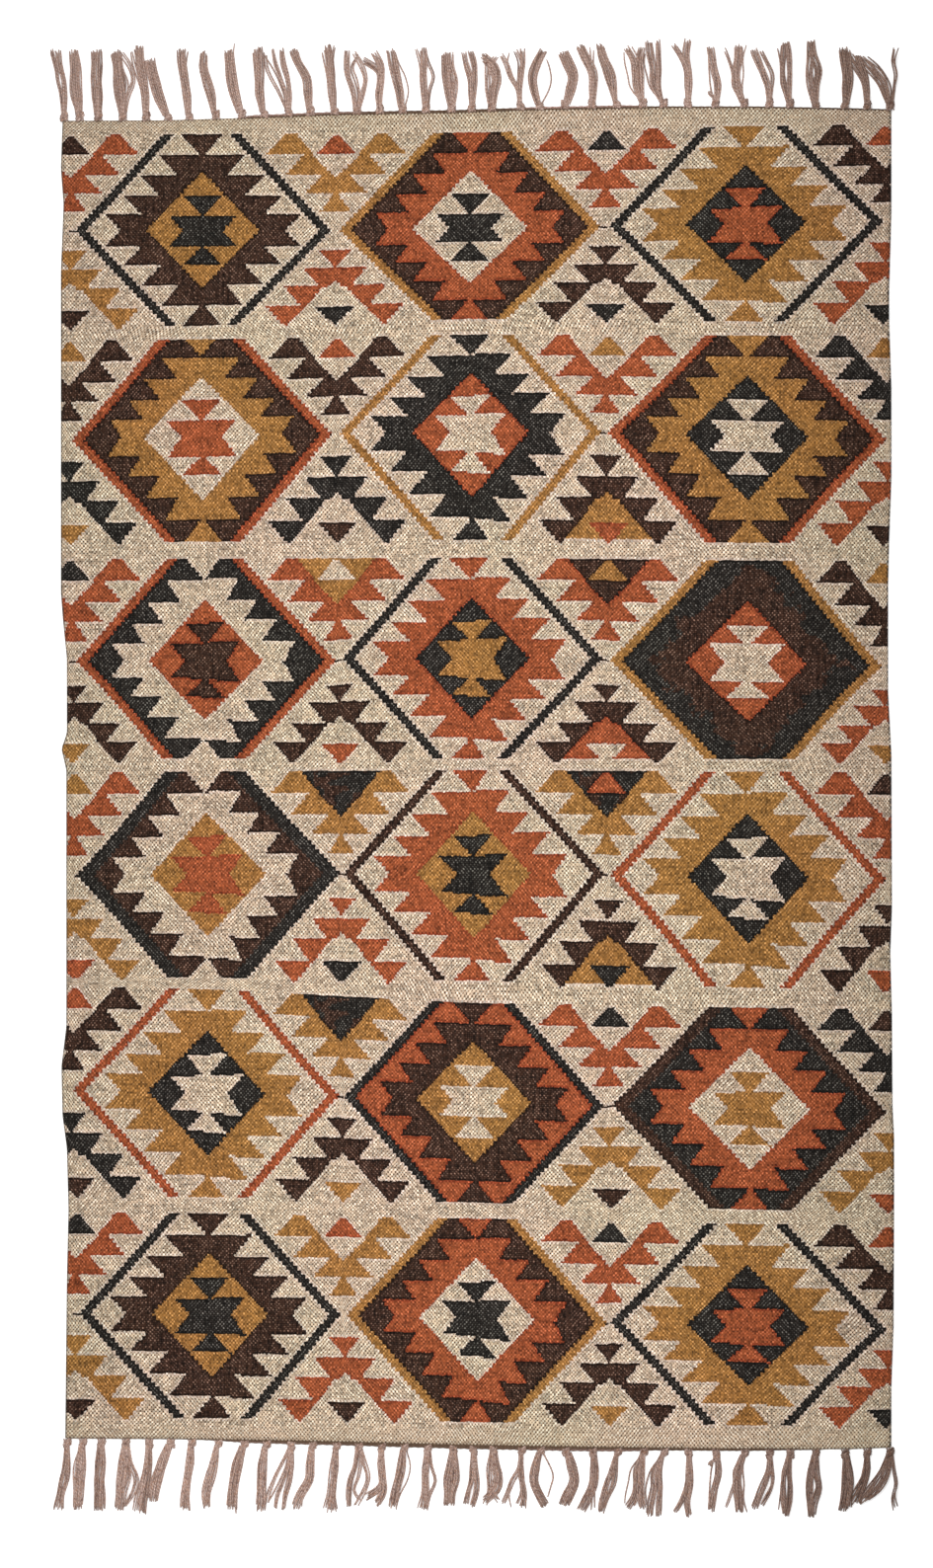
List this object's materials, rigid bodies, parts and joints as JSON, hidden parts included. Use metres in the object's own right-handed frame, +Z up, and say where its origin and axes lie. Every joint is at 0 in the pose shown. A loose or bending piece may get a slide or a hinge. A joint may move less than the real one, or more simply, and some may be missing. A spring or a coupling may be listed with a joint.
{
  "type": "kilim rug",
  "caption": "Flat-woven rectangular rug with rows of stepped hexagonal medallions and knotted tassel fringe at both ends.",
  "frame": {"origin": "on the floor under the middle of the whole rug, fringes included", "axes": "+Z up out of the rug's face, +Y along its length to the end shown at the top, +X across its width"},
  "size_m": [1.5608, 2.712, 0.0096],
  "materials": {
    "kilim_weave": "coarse matt wool and jute tapestry weave in cream, rust, ochre, brown and charcoal",
    "fringe_yarn": "matt twisted taupe warp yarn"
  },
  "bodies": {
    "root": {"rug_body": "kilim_weave", "fringe_top": "fringe_yarn", "fringe_bottom": "fringe_yarn"}
  },
  "joints": []
}
